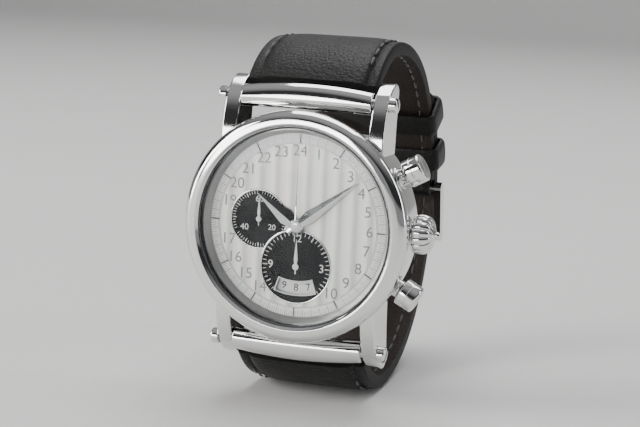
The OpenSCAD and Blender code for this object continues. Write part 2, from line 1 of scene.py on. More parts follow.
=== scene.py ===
"""Looks of a steel dress chronograph on a black leather strap.

Pieces of the watch head are drawn in the head's own axes, in millimetres from the caseback's face:
x towards the crown, y towards 12 o'clock, z out of the dial. HEAD turns them into the frame's metres.
The strap is drawn along its route in the frame's Y-Z plane, in millimetres too.
"""

import math

import bmesh
import bpy
from mathutils import Matrix, Vector


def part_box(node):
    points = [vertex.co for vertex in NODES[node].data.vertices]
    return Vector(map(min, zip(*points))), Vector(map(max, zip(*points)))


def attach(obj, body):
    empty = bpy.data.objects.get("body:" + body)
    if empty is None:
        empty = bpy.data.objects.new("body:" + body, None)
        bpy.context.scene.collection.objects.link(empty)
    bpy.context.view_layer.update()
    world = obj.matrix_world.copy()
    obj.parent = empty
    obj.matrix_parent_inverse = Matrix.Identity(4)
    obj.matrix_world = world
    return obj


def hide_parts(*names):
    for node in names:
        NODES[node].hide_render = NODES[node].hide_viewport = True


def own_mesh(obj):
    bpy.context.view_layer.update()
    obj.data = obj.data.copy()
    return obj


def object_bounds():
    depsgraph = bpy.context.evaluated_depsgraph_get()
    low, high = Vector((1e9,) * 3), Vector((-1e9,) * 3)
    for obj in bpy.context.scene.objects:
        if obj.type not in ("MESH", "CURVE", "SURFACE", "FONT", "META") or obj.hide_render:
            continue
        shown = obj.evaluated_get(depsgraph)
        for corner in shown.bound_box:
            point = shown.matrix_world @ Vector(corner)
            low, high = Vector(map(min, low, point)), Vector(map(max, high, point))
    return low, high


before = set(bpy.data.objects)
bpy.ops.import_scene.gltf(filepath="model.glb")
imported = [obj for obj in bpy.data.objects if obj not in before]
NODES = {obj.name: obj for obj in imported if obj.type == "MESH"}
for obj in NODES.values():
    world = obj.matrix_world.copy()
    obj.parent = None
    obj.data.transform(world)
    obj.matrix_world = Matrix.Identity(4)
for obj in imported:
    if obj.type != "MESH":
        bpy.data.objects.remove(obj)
CAD_BOX = [list(corner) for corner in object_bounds()]

MM = 0.001
TAU = 2 * math.pi
HEAD = Matrix(((MM, 0, 0, 0), (0, 0, -MM, 0), (0, MM, 0, 0), (0, 0, 0, 1)))
PLAIN = Matrix.Scale(MM, 4)


def node_span(node):
    """A node's lowest and highest x, y and z in the head's axes, in millimetres."""
    low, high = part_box(node)
    return (
        (low.x / MM, high.x / MM),
        (low.z / MM, high.z / MM),
        (-high.y / MM, -low.y / MM),
    )


BEZEL_R = node_span("bezel")[0][1]
BEZEL_Z = node_span("bezel")[2]
CASE_WALL = 3.2
CASE_R = node_span("movement_ring")[0][1] + CASE_WALL
DIAL_Z = node_span("dial_plate")[2][1]
SUBDIAL_Z = node_span("subdial_counter")[2][1]
DATE_Z = node_span("date_ring")[2][1]
LINK_X = node_span("end_link_12")[0][1]
LUG_WIDTH = 2.75
LUG_BAR = (22.0, 6.4)
CROWN_Z = 5.9
SECONDS = (-7.2, 0.6)
SECONDS_R = 5.2
COUNTER = (0.0, -7.3)
COUNTER_R = 6.5
PUSHER_ANGLE = 29.0
FLUTES = 14
STRAP_RUN = 70.3  # mm along the strap for each whole unit of its route


# ---------------------------------------------------------------- materials


class Look:
    """A material, with short calls for building its nodes. Textures use the frame's own metres."""

    def __init__(self, name, color, rough, metal=0.0, **sockets):
        self.mat = bpy.data.materials.new(name)
        self.mat.use_nodes = True
        self.tree = self.mat.node_tree
        self.bsdf = self.tree.nodes["Principled BSDF"]
        self.bsdf.inputs["Base Color"].default_value = (*color, 1)
        self.bsdf.inputs["Roughness"].default_value = rough
        self.bsdf.inputs["Metallic"].default_value = metal
        for socket, value in sockets.items():
            self.bsdf.inputs[socket.replace("_", " ")].default_value = value
        self.place = self.add("ShaderNodeTexCoord").outputs["Object"]

    def add(self, kind, inputs=None, **props):
        node = self.tree.nodes.new(kind)
        for key, value in props.items():
            setattr(node, key, value)
        for key, value in (inputs or {}).items():
            if isinstance(value, bpy.types.NodeSocket):
                self.tree.links.new(value, node.inputs[key])
            else:
                node.inputs[key].default_value = value
        return node

    def maths(self, operation, a, b=0.0, clamp=False):
        node = self.add("ShaderNodeMath", {0: a, 1: b}, operation=operation, use_clamp=clamp)
        return node.outputs[0]

    def scaled(self, vector):
        return self.add("ShaderNodeVectorMath", {0: self.place, 1: vector}, operation="MULTIPLY").outputs[0]

    def noise(self, size_mm, detail=4.0, stretch=(1, 1, 1)):
        per_metre = 1 / (size_mm * MM)
        where = self.scaled([per_metre * s for s in stretch])
        node = self.add("ShaderNodeTexNoise", {"Vector": where, "Scale": 1.0, "Detail": detail})
        return node.outputs["Fac"]

    def cells(self, size_mm, feature="F1"):
        kind = {"Vector": self.place, "Scale": 1 / (size_mm * MM)}
        return self.add("ShaderNodeTexVoronoi", kind, feature=feature).outputs["Distance"]

    def along(self, axis):
        """The distance along a direction of the frame, in millimetres."""
        direction = [c / MM for c in axis]
        node = self.add("ShaderNodeVectorMath", {0: self.place, 1: direction}, operation="DOT_PRODUCT")
        return node.outputs["Value"]

    def from_centre(self, x, y):
        """The distance from an axis of the head, in millimetres."""
        flat = self.scaled((1 / MM, 0, 1 / MM))
        node = self.add("ShaderNodeVectorMath", {0: flat, 1: (x, 0, y)}, operation="DISTANCE")
        return node.outputs["Value"]

    def wave(self, value, pitch_mm):
        """A sine from 0 to 1 with this pitch."""
        turns = self.maths("SINE", self.maths("MULTIPLY", value, TAU / pitch_mm))
        return self.maths("MULTIPLY_ADD", turns, 0.5)

    def ramp(self, value, low, high):
        node = self.add("ShaderNodeMapRange", {"Value": value, "To Min": low, "To Max": high})
        return node.outputs["Result"]

    def mix(self, factor, a, b):
        node = self.add("ShaderNodeMix", {"Factor": factor}, data_type="RGBA")
        for index, value in ((6, a), (7, b)):
            if isinstance(value, bpy.types.NodeSocket):
                self.tree.links.new(value, node.inputs[index])
            else:
                node.inputs[index].default_value = (*value, 1)
        return node.outputs[2]

    def color(self, value):
        self.tree.links.new(value, self.bsdf.inputs["Base Color"])
        return self

    def rough(self, value):
        self.tree.links.new(value, self.bsdf.inputs["Roughness"])
        return self

    def bump(self, height, depth_mm, strength=1.0):
        before = self.bsdf.inputs["Normal"].links
        inputs = {"Height": height, "Distance": depth_mm * MM, "Strength": strength}
        if before:
            inputs["Normal"] = before[0].from_socket
        node = self.add("ShaderNodeBump", inputs)
        self.tree.links.new(node.outputs["Normal"], self.bsdf.inputs["Normal"])
        return self


def polished_steel(name="polished_steel", color=(0.83, 0.83, 0.82)):
    look = Look(name, color, 0.06, 1.0)
    wear = look.noise(3.0, 6.0)
    hairlines = look.noise(0.9, 3.0, (0.12, 1.0, 1.0))
    look.rough(look.ramp(look.maths("MULTIPLY", wear, hairlines), 0.03, 0.17))
    look.color(look.mix(wear, [c * 0.94 for c in color], color))
    return look.bump(hairlines, 0.0012).mat


def brushed_steel(name="brushed_steel", direction=(1, 0.04, 0.04)):
    look = Look(name, (0.64, 0.64, 0.63), 0.3, 1.0, Anisotropic=0.4)
    lines = look.noise(0.12, 5.0, [0.04 if d == 1 else 1.0 for d in direction])
    look.rough(look.ramp(lines, 0.2, 0.42))
    look.color(look.mix(lines, (0.55, 0.55, 0.54), (0.72, 0.72, 0.71)))
    return look.bump(lines, 0.004).mat


def sapphire():
    """Thin clear crystal: light passes straight through and a coated surface reflects a little."""
    look = Look("sapphire", (1, 1, 1), 0.02)
    tree = look.tree
    clear = look.add("ShaderNodeBsdfTransparent", {"Color": (0.985, 0.992, 0.99, 1)})
    shine = look.add("ShaderNodeBsdfGlossy", {"Color": (0.86, 0.91, 1.0, 1), "Roughness": 0.02})
    edge = look.add("ShaderNodeFresnel", {"IOR": 1.45}).outputs[0]
    smear = look.ramp(look.noise(7.0, 5.0), 0.16, 0.3)
    amount = look.maths("MULTIPLY", edge, smear, clamp=True)
    both = look.add("ShaderNodeMixShader", {0: amount, 1: clear.outputs[0], 2: shine.outputs[0]})
    tree.links.new(both.outputs[0], tree.nodes["Material Output"].inputs["Surface"])
    return look.mat


def dial_silver():
    """Silvered dial: vertical stripes with grained lines and faint warm and cool tints."""
    look = Look("dial_silver", (0.8, 0.79, 0.77), 0.36, 0.55)
    across = look.along((1, 0, 0))
    broad = look.wave(across, 2.9)
    narrow = look.wave(look.maths("ADD", across, 0.7), 1.45)
    grain = look.noise(0.09, 4.0, (1.0, 1.0, 0.03))
    tint = look.ramp(look.noise(4.5, 2.0, (1.0, 1.0, 0.3)), -0.75, 1.75)
    stripe = look.maths("MULTIPLY_ADD", narrow, 0.3)
    look.tree.links.new(broad, stripe.node.inputs[2])
    warm = look.mix(tint, (1.0, 0.86, 0.80), (0.84, 0.93, 0.85))
    base = look.mix(look.maths("MULTIPLY", stripe, 0.77, clamp=True), (0.47, 0.455, 0.44), warm)
    look.color(look.mix(look.maths("MULTIPLY", grain, 0.35), base, (0.93, 0.92, 0.9)))
    look.rough(look.ramp(grain, 0.26, 0.46))
    return look.bump(broad, 0.05).bump(grain, 0.006).mat


def dial_ring():
    """The outer ring of the dial, circular grained."""
    look = Look("dial_ring", (0.7, 0.7, 0.68), 0.32, 0.6)
    rings = look.wave(look.from_centre(0, 0), 0.16)
    cloud = look.noise(6.0, 3.0)
    look.color(look.mix(cloud, (0.56, 0.56, 0.55), (0.84, 0.83, 0.8)))
    look.rough(look.ramp(cloud, 0.26, 0.42))
    return look.bump(rings, 0.008).mat


def dial_black(name, centre):
    """A black sub-dial with fine concentric rings."""
    look = Look(name, (0.006, 0.006, 0.0065), 0.3, 0.0, Specular_IOR_Level=0.22)
    rings = look.wave(look.from_centre(*centre), 0.22)
    dust = look.noise(0.8, 5.0)
    look.color(look.mix(dust, (0.003, 0.003, 0.0035), (0.010, 0.0095, 0.0095)))
    look.rough(look.ramp(rings, 0.24, 0.42))
    return look.bump(rings, 0.014).mat


def lacquer(name, color, rough=0.4, metal=0.0):
    look = Look(name, color, rough, metal)
    fleck = look.noise(0.25, 5.0)
    look.color(look.mix(fleck, [c * 0.88 for c in color], color))
    look.rough(look.ramp(fleck, rough * 0.8, rough * 1.25))
    return look.bump(fleck, 0.002).mat


def leather(name="leather", low=(0.0045, 0.0043, 0.0042), high=(0.014, 0.013, 0.012), grain=0.62):
    """Grained calf: rounded cells of two sizes, creases, and paler worn tops."""
    look = Look(name, low, 0.5, 0.0, Specular_IOR_Level=0.26, Sheen_Weight=0.03, Sheen_Roughness=0.4)
    cell = look.cells(grain)
    fine = look.cells(grain * 0.36)
    crease = look.cells(grain * 2.6, "DISTANCE_TO_EDGE")
    pore = look.noise(0.1, 5.0)
    wear = look.noise(7.0, 4.0)
    hide = look.maths("MULTIPLY_ADD", cell, 0.75)
    look.tree.links.new(look.maths("MULTIPLY", fine, 0.35), hide.node.inputs[2])
    look.color(look.mix(look.maths("MULTIPLY", wear, look.ramp(cell, 1.0, 0.2), clamp=True), low, high))
    look.rough(look.ramp(look.maths("MULTIPLY", pore, wear), 0.38, 0.78))
    look.bump(look.ramp(hide, 1.0, 0.0), 0.09)
    look.bump(look.maths("MINIMUM", crease, 0.08), 0.3)
    return look.bump(pore, 0.012).mat


def lining():
    """Smooth undyed lining leather on the inner side of the strap."""
    return leather("lining", (0.012, 0.009, 0.0075), (0.030, 0.022, 0.018), 0.4)


def edge_paint():
    look = Look("edge_paint", (0.006, 0.006, 0.006), 0.5, Specular_IOR_Level=0.22)
    layers = look.noise(0.35, 4.0)
    look.color(look.mix(layers, (0.004, 0.004, 0.004), (0.012, 0.011, 0.011)))
    look.rough(look.ramp(layers, 0.45, 0.68))
    return look.bump(layers, 0.03).mat


def thread():
    look = Look("thread", (0.03, 0.03, 0.031), 0.62, 0.0, Sheen_Weight=0.3)
    twist = look.wave(look.along((0.5, 0.6, 0.6)), 0.22)
    fuzz = look.noise(0.05, 4.0)
    look.color(look.mix(twist, (0.014, 0.014, 0.015), (0.06, 0.059, 0.058)))
    look.rough(look.ramp(fuzz, 0.5, 0.75))
    return look.bump(twist, 0.03).bump(fuzz, 0.01).mat


def rubber():
    look = Look("gasket_rubber", (0.02, 0.02, 0.02), 0.55)
    skin = look.noise(0.3, 4.0)
    look.color(look.mix(skin, (0.014, 0.014, 0.014), (0.035, 0.035, 0.035)))
    look.rough(look.ramp(skin, 0.45, 0.7))
    return look.bump(skin, 0.01).mat


def striped_plate():
    """Rhodium-plated bridges with slanted decorative stripes."""
    look = Look("striped_plate", (0.72, 0.71, 0.68), 0.25, 1.0, Anisotropic=0.3)
    slant = look.along((0.94, 0, 0.34))
    bars = look.maths("FRACT", look.maths("MULTIPLY", slant, 1 / 1.7))
    lines = look.noise(0.07, 3.0, (0.2, 1.0, 1.0))
    look.color(look.mix(bars, (0.6, 0.6, 0.58), (0.82, 0.81, 0.78)))
    look.rough(look.ramp(lines, 0.16, 0.34))
    return look.bump(bars, 0.06).bump(lines, 0.005).mat


def pearled_plate():
    """The main plate, covered in small overlapping polished spots."""
    look = Look("pearled_plate", (0.68, 0.67, 0.64), 0.3, 1.0)
    spot = look.cells(0.95)
    rings = look.wave(spot, 0.12)
    look.color(look.mix(spot, (0.52, 0.52, 0.5), (0.8, 0.79, 0.76)))
    look.rough(look.ramp(rings, 0.2, 0.4))
    return look.bump(rings, 0.012).mat


def turned(name, color, centre, pitch=0.13, rough=0.24):
    """Metal turned or snailed about its own arbor."""
    look = Look(name, color, rough, 1.0)
    rings = look.wave(look.from_centre(*centre), pitch)
    cloud = look.noise(1.6, 3.0)
    look.color(look.mix(cloud, [c * 0.82 for c in color], color))
    look.rough(look.ramp(rings, rough * 0.75, rough * 1.4))
    return look.bump(rings, 0.006).mat


def blued_steel():
    look = Look("blued_steel", (0.02, 0.05, 0.34), 0.14, 1.0)
    heat = look.noise(0.5, 3.0)
    look.color(look.mix(heat, (0.012, 0.035, 0.26), (0.05, 0.1, 0.5)))
    look.rough(look.ramp(heat, 0.1, 0.2))
    return look.bump(heat, 0.002).mat


def ruby():
    look = Look("ruby", (0.5, 0.008, 0.07), 0.06, 0.0, Coat_Weight=0.6)
    depth = look.noise(0.4, 2.0)
    look.color(look.mix(depth, (0.32, 0.004, 0.045), (0.68, 0.02, 0.12)))
    look.rough(look.ramp(depth, 0.04, 0.09))
    return look.mat


def floor_paper():
    look = Look("floor_paper", (0.74, 0.74, 0.73), 0.62)
    fibre = look.noise(2.5, 5.0)
    look.color(look.mix(fibre, (0.71, 0.71, 0.70), (0.76, 0.76, 0.75)))
    look.rough(look.ramp(fibre, 0.55, 0.7))
    return look.bump(fibre, 0.02).mat


STEEL = polished_steel()
BRUSHED = brushed_steel()
PLATE = striped_plate()
LEATHER = leather()
LINING = lining()
EDGE = edge_paint()
THREAD = thread()
WHITE = lacquer("white_print", (0.86, 0.86, 0.84), 0.45)
GREY = lacquer("grey_print", (0.23, 0.23, 0.24), 0.4, 0.3)
BLACK = lacquer("black_print", (0.012, 0.012, 0.013), 0.4)
BLUE = blued_steel()
BRASS = (0.86, 0.66, 0.34)
GREY_STEEL = (0.62, 0.62, 0.61)


# ---------------------------------------------------------------- mesh tools


def piece(name, bm, mats, body, replaces=(), place=HEAD, smooth=40.0):
    """Turns a bmesh in millimetres into a finished piece of the model."""
    bmesh.ops.transform(bm, matrix=place, verts=bm.verts)
    bmesh.ops.recalc_face_normals(bm, faces=bm.faces)
    mesh = bpy.data.meshes.new(name)
    bm.to_mesh(mesh)
    bm.free()
    obj = bpy.data.objects.new(name, mesh)
    bpy.context.scene.collection.objects.link(obj)
    for mat in mats if isinstance(mats, (list, tuple)) else [mats]:
        mesh.materials.append(mat)
    mesh.polygons.foreach_set("use_smooth", [True] * len(mesh.polygons))
    mesh.set_sharp_from_angle(angle=math.radians(smooth))
    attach(obj, body)
    if replaces:
        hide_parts(*replaces)
    return obj


def apply_modifiers(obj):
    depsgraph = bpy.context.evaluated_depsgraph_get()
    mesh = bpy.data.meshes.new_from_object(obj.evaluated_get(depsgraph))
    obj.modifiers.clear()
    obj.data = mesh


def bevelled(obj, width_mm, segments=3, angle=35.0):
    bevel = obj.modifiers.new("bevel", "BEVEL")
    bevel.width = width_mm * MM
    bevel.segments = segments
    bevel.limit_method = "ANGLE"
    bevel.angle_limit = math.radians(angle)
    bevel.harden_normals = True
    apply_modifiers(obj)
    return obj


def arc(cx, cy, r, a0, a1, n):
    """Points on a circle, with the angles in degrees."""
    angles = [math.radians(a0 + (a1 - a0) * i / n) for i in range(n + 1)]
    return [(cx + r * math.cos(a), cy + r * math.sin(a)) for a in angles]


def skin(bm, rings, closed=False, mat=0):
    """Faces between rings of the same number of vertices, each ring a closed loop."""
    count = len(rings[0])
    pairs = list(zip(rings, rings[1:])) + ([(rings[-1], rings[0])] if closed else [])
    for a, b in pairs:
        for k in range(count):
            m = (k + 1) % count
            corners = [a[k], a[m], b[m], b[k]]
            unique = list(dict.fromkeys(corners))
            if len(unique) > 2:
                bm.faces.new(unique).material_index = mat


def lathe(bm, profile, steps=192, radius_of=None):
    """A closed outline of (r, z) points turned about z. Points on the axis share one vertex."""
    loops = []
    axis = {}
    for i in range(steps):
        a = TAU * i / steps
        ring = []
        for k, (r, z) in enumerate(profile):
            if r < 1e-6:
                if k not in axis:
                    axis[k] = bm.verts.new((0, 0, z))
                ring.append(axis[k])
            else:
                q = radius_of(r, z, a) if radius_of else r
                ring.append(bm.verts.new((q * math.cos(a), q * math.sin(a), z)))
        loops.append(ring)
    count = len(profile)
    for a, b in zip(loops, loops[1:] + loops[:1]):
        for k in range(count):
            m = (k + 1) % count
            unique = list(dict.fromkeys([a[k], a[m], b[m], b[k]]))
            if len(unique) > 2:
                bm.faces.new(unique)
    return bm


def prism(bm, outline, z0, z1, matrix=Matrix.Identity(4)):
    """A closed outline of (x, y) points between two heights."""
    low = [bm.verts.new(matrix @ Vector((x, y, z0))) for x, y in outline]
    high = [bm.verts.new(matrix @ Vector((x, y, z1))) for x, y in outline]
    bm.faces.new(low[::-1])
    bm.faces.new(high)
    for k in range(len(outline)):
        m = (k + 1) % len(outline)
        bm.faces.new([low[k], low[m], high[m], high[k]])
    return bm


def turned_to(angle_deg, z=CROWN_Z):
    """Places a lathe's z axis along a radius of the case."""
    turn = Matrix.Rotation(math.radians(angle_deg), 4, "Z")
    return HEAD @ Matrix.Translation((0, 0, z)) @ turn @ Matrix.Rotation(math.pi / 2, 4, "Y")


def lettering(name, items, z, mat, body, thick=0.02):
    """Printed numbers. Each item is (text, x, y, height in mm, turn in degrees clockwise)."""
    bm = bmesh.new()
    for text, x, y, size, turn in items:
        curve = bpy.data.curves.new("number", "FONT")
        curve.body = text
        curve.size = size * 1.38
        curve.align_x = "CENTER"
        curve.align_y = "CENTER"
        curve.extrude = thick / 2
        curve.resolution_u = 4
        temp = bpy.data.objects.new("number", curve)
        bpy.context.scene.collection.objects.link(temp)
        mesh = bpy.data.meshes.new_from_object(temp.evaluated_get(bpy.context.evaluated_depsgraph_get()))
        mesh.transform(Matrix.Translation((x, y, z)) @ Matrix.Rotation(-math.radians(turn), 4, "Z"))
        bm.from_mesh(mesh)
        bpy.data.objects.remove(temp)
        bpy.data.curves.remove(curve)
        bpy.data.meshes.remove(mesh)
    return piece(name, bm, mat, body)


def ticks(bm, centre, r0, r1, width, z, count, skip=lambda i: False, thick=0.02):
    """Short printed bars around a centre, starting at 12 and going clockwise."""
    for i in range(count):
        if skip(i):
            continue
        turn = Matrix.Translation((*centre, 0)) @ Matrix.Rotation(-TAU * i / count, 4, "Z")
        bar = [(-width / 2, r0), (width / 2, r0), (width / 2, r1), (-width / 2, r1)]
        prism(bm, bar, z, z + thick, turn)


def flat_ring(bm, centre, r0, r1, z0, z1, steps=160):
    start = len(bm.verts)
    lathe(bm, [(r0, z0), (r1, z0), (r1, z1), (r0, z1)], steps)
    bm.verts.ensure_lookup_table()
    for v in list(bm.verts)[start:]:
        v.co.x += centre[0]
        v.co.y += centre[1]


# ---------------------------------------------------------------- case


def make_bezel():
    outline = [(17.65, BEZEL_Z[0]), (BEZEL_R - 0.35, BEZEL_Z[0])]
    outline += arc(BEZEL_R - 0.35, BEZEL_Z[0] + 0.35, 0.35, -80, 0, 5)
    outline += arc(BEZEL_R - 2.0, BEZEL_Z[0] + 0.9, 2.0, 6, 70, 20)
    outline += arc(18.25, BEZEL_Z[1] - 0.3, 0.3, 72, 160, 6)
    outline += [(17.65, BEZEL_Z[1] - 0.45)]
    piece("bezel_polished", lathe(bmesh.new(), outline, 288), STEEL, "case", ["bezel"])


def make_case():
    """The case middle and its four straight lugs, with rounded edges."""
    bm = bmesh.new()
    outline = [(CASE_R - CASE_WALL, 1.2), (CASE_R - 1.0, 1.2)]
    outline += arc(CASE_R - 0.9, 2.1, 0.9, -90, 0, 8)
    outline += [(CASE_R + 0.05, 5.5)]
    outline += arc(CASE_R - 0.5, 9.4, 0.5, 0, 90, 6)
    outline += [(17.65, 9.9), (17.65, 9.0), (CASE_R - CASE_WALL, 9.0)]
    lathe(bm, outline, 256)
    body = piece("case_middle", bm, STEEL, "case", ["mid_case"])
    side = [(13.0, 1.6), (17.5, 1.35)] + arc(23.6, 2.5, 1.9, -105, 18, 14)
    side += arc(17.5, 0.4, 8.4, 30, 74, 18) + [(17.5, 9.25), (13.0, 9.5)]
    inner = LINK_X + 0.15
    outer = inner + LUG_WIDTH
    for index, (sx, sy) in enumerate([(1, 1), (-1, 1), (1, -1), (-1, -1)]):
        bm = bmesh.new()
        # The outline's (x, y) become the head's (y, z), and its height becomes x.
        stand = Matrix(((0, 0, sx, 0), (sy, 0, 0, 0), (0, 1, 0, 0), (0, 0, 0, 1)))
        prism(bm, side, inner, outer, stand)
        lug = piece(f"lug_{index + 1}", bm, STEEL, "case", ["mid_case"])
        bevelled(lug, 0.32, 4, 30)
    return body



def make_end_links():
    """The polished pieces that carry the strap, bowed along their outer edge."""
    across = 40
    for name, sign in (("end_link_12", 1), ("end_link_6", -1)):
        bm = bmesh.new()
        rings = []
        for i in range(across + 1):
            x = -LINK_X + 2 * LINK_X * i / across
            bow = 0.9 * (1 - (x / LINK_X) ** 2)
            outline = [(20.1, 4.6)] + arc(21.85 + bow * 0.25, 6.45, 1.85, 184, 80, 16)
            outline += arc(21.9 + bow, 6.2, 2.05, 76, -35, 18) + [(22.5 + bow, 4.5)]
            ring = [bm.verts.new((x, sign * y, z)) for y, z in outline]
            rings.append(ring)
        skin(bm, rings)
        bm.faces.new(rings[0])
        bm.faces.new(rings[-1])
        link = piece(name + "_polished", bm, STEEL, "case", [name])
        bevelled(link, 0.22, 3, 50)


def make_lug_screws():
    """Round screw heads that stand proud of the lugs."""
    outer = LINK_X + 0.15 + LUG_WIDTH
    for index, (sx, sy) in enumerate([(1, 1), (-1, 1), (1, -1), (-1, -1)]):
        bm = bmesh.new()
        outline = [(0, -2.0), (0.5, -2.0), (0.5, 0.02), (1.3, 0.02), (1.4, 0.12)]
        outline += arc(1.05, 1.15, 0.35, 0, 80, 6) + [(0, 1.55)]
        lathe(bm, outline, 64)
        turn = Matrix.Rotation(sx * math.pi / 2, 4, "Y")
        shift = Matrix.Translation((sx * outer, sy * LUG_BAR[0], LUG_BAR[1]))
        head = piece(f"lug_screw_{index + 1}", bm, STEEL, "case", ["lug_screws"],
                     HEAD @ shift @ turn)
        slot_bm = bmesh.new()
        prism(slot_bm, [(-0.22, -2), (0.22, -2), (0.22, 2), (-0.22, 2)], 1.05, 2.5)
        cut_away(head, slot_bm, HEAD @ shift @ turn @ Matrix.Rotation(0.5 + index, 4, "Z"))


def cut_away(obj, bm, place):
    """Cuts a closed shape out of a piece."""
    bmesh.ops.transform(bm, matrix=place, verts=bm.verts)
    bmesh.ops.recalc_face_normals(bm, faces=bm.faces)
    mesh = bpy.data.meshes.new("cutter")
    bm.to_mesh(mesh)
    bm.free()
    cutter = bpy.data.objects.new("cutter", mesh)
    bpy.context.scene.collection.objects.link(cutter)
    boolean = obj.modifiers.new("cut", "BOOLEAN")
    boolean.operation = "DIFFERENCE"
    boolean.solver = "EXACT"
    boolean.object = cutter
    bpy.context.view_layer.update()
    apply_modifiers(obj)
    bpy.data.objects.remove(cutter)
    obj.data.set_sharp_from_angle(angle=math.radians(35))


def make_crown():
    """An onion crown: rounded flutes that run together at a small knob."""
    x0, x1 = node_span("crown")[0]
    r = 3.5
    outline = [(0.45, x0 + 0.7), (1.35, x0 + 0.7), (1.35, x0), (r - 0.8, x0)]
    outline += arc(r - 0.75, x0 + 0.75, 0.75, -85, 0, 8)
    outline += [(r, x0 + 1.3)] + arc(r - 2.05, x0 + 1.55, 2.05, 4, 58, 18)
    outline += [(1.35, x1 - 1.12), (1.15, x1 - 1.0), (0.78, x1 - 0.86)]
    outline += arc(0.02, x1 - 0.62, 0.62, -15, 88, 10) + [(0, x1), (0, x0 + 2)]

    def fluted(radius, z, angle):
        depth = 0.34 * max(0.0, min(1.0, (radius - 1.2) / 1.5)) * min(1.0, max(0.0, (z - x0 - 0.05) / 0.35))
        wave = abs(math.sin(angle * FLUTES / 2)) ** 0.55
        return radius - depth * (1 - wave)

    bm = lathe(bmesh.new(), outline, 20 * FLUTES, fluted)
    piece("crown_onion", bm, STEEL, "crown", ["crown"], turned_to(0), 50)


def make_pushers():
    """Pump pushers: a collar on the case, a neck and a broad cap with a skirt."""
    tip = 24.5
    for name, sign in (("pusher_start", 1), ("pusher_reset", -1)):
        cap = [(0, 15.3), (0.8, 15.3), (0.9, 15.4), (0.9, 22.1), (1.75, 22.1), (1.75, 21.25), (2.2, 21.2)]
        cap += arc(2.25, 21.45, 0.25, -80, 0, 4) + [(2.5, 22.6), (2.42, 22.68), (2.42, 22.84), (2.5, 22.92)]
        cap += arc(2.05, tip - 0.45, 0.45, 0, 85, 8) + [(1.3, tip - 0.02), (1.2, tip - 0.1), (0, tip - 0.1)]
        piece(name + "_cap", lathe(bmesh.new(), cap, 128), STEEL, name, [name],
              turned_to(sign * PUSHER_ANGLE))
        collar = [(1.0, 18.6), (2.15, 18.6), (2.15, 19.75), (2.0, 19.95), (1.6, 20.0), (1.6, 20.9),
                  (1.5, 20.95), (1.0, 20.95)]
        piece(name + "_collar", lathe(bmesh.new(), collar, 96), STEEL, "case", (),
              turned_to(sign * PUSHER_ANGLE))


def make_springs():
    """Wire springs about the pushers' stems."""
    wire, coil, turns, foot, length = 0.14, 1.32, 3, 21.05, 0.9
    for name, sign in (("start", 1), ("reset", -1)):
        bm = bmesh.new()
        rings = []
        steps = 48 * turns
        for i in range(steps + 1):
            a = TAU * turns * i / steps
            z = foot + length * i / steps
            rings.append([bm.verts.new(((coil + wire * math.cos(q)) * math.cos(a),
                                        (coil + wire * math.cos(q)) * math.sin(a), z + wire * math.sin(q)))
                          for q in (TAU * k / 10 for k in range(10))])
        skin(bm, rings)
        bm.faces.new(rings[0])
        bm.faces.new(rings[-1])
        spring = piece(f"spring_{name}", bm, BRUSHED, "case", ["pusher_springs"],
                       turned_to(sign * PUSHER_ANGLE))
        a = math.radians(sign * PUSHER_ANGLE)
        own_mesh(spring)


# ---------------------------------------------------------------- dial and hands


def make_dial():
    bm = bmesh.new()
    flat_ring(bm, (0, 0), 14.55, 16.28, DIAL_Z - 0.02, DIAL_Z + 0.03, 256)
    piece("minute_ring", bm, dial_ring(), "case")

    bm = bmesh.new()
    for r in (14.55, 14.78, 16.2):
        flat_ring(bm, (0, 0), r - 0.03, r + 0.03, DIAL_Z + 0.02, DIAL_Z + 0.05, 256)
    ticks(bm, (0, 0), 15.25, 16.15, 0.07, DIAL_Z + 0.03, 240, lambda i: i % 4 == 0)
    ticks(bm, (0, 0), 14.95, 16.15, 0.12, DIAL_Z + 0.03, 60)
    ticks(bm, (0, 0), 14.6, 16.15, 0.3, DIAL_Z + 0.03, 12)
    piece("minute_track", bm, GREY, "case")

    numbers = []
    for hour in range(1, 25):
        turn = 15.0 * hour
        if 150 < turn < 210 or turn == 270:
            continue
        a = math.radians(turn)
        numbers.append((str(hour), 13.25 * math.sin(a), 13.25 * math.cos(a), 2.0, 0))
    lettering("hour_numbers", numbers, DIAL_Z + 0.01, GREY, "case")

    for name, centre, r, other, other_r in (
        ("seconds_rim", SECONDS, SECONDS_R, COUNTER, COUNTER_R),
        ("counter_rim", COUNTER, COUNTER_R, None, 0),
    ):
        bm = bmesh.new()
        steps = 200
        section = [(-0.12, -0.2), (-0.12, 0.05), (-0.05, 0.1), (0.07, 0.1), (0.16, 0.03), (0.16, -0.2)]
        rings = []
        for i in range(steps + 1):
            a = TAU * i / steps
            x, y = centre[0] + r * math.cos(a), centre[1] + r * math.sin(a)
            if other and math.dist((x, y), other) < other_r + 0.1:
                if rings:
                    skin(bm, rings)
                rings = []
                continue
            rings.append([bm.verts.new((x + d * math.cos(a), y + d * math.sin(a), DIAL_Z + h))
                          for d, h in section])
        if rings:
            skin(bm, rings)
        piece(name, bm, STEEL, "case")


